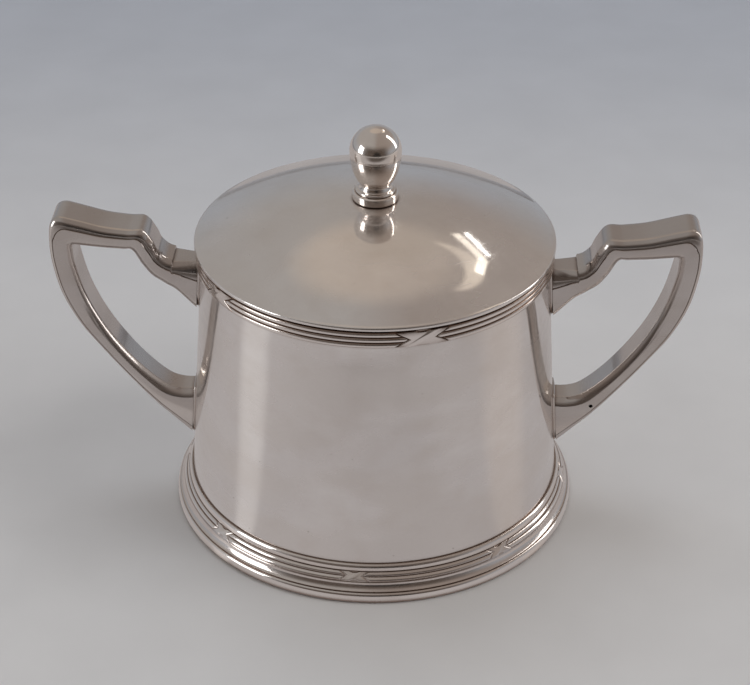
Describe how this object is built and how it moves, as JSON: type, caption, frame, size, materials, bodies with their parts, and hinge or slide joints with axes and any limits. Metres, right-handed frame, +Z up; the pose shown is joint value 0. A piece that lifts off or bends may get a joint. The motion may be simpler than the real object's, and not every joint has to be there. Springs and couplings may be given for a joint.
{
  "type": "covered sugar bowl",
  "caption": "Round silver-plated sugar bowl with tapered wall, reeded rim and foot mouldings, angular loop handles and a domed lift-off lid with a ball knob.",
  "frame": {"origin": "centre of the foot, on the table", "axes": "+Z up, +X through the right handle, -Y towards the front"},
  "size_m": [0.1776, 0.1148, 0.1151],
  "materials": {
    "silver_plate": "polished silver plate, soft with age",
    "silver_moulding": "polished silver plate, tarnish in the grooves",
    "silver_handle": "polished silver plate, handled",
    "silver_knob": "bright turned silver plate",
    "silver_hidden": "dull silver plate",
    "fastener": "turned, dull"
  },
  "bodies": {
    "bowl": {"bowl_shell": "silver_plate", "rim_moulding": "silver_moulding", "foot_moulding": "silver_moulding", "left_handle_front": "silver_handle", "left_handle_rear": "silver_handle", "right_handle_front": "silver_handle", "right_handle_rear": "silver_handle", "left_upper_pad": "silver_handle", "left_lower_pad": "silver_handle", "right_upper_pad": "silver_handle", "right_lower_pad": "silver_handle"},
    "lid": {"lid_dome": "silver_plate", "lid_bezel": "silver_hidden", "knob": "silver_knob", "knob_collar": "silver_knob", "knob_washer": "fastener", "knob_nut": "fastener"}
  },
  "joints": [
    {"name": "lid_lift", "type": "slide", "parent": "bowl", "child": "lid", "axis": [0, 0, 1], "range_m": [0, 0.06]}
  ]
}
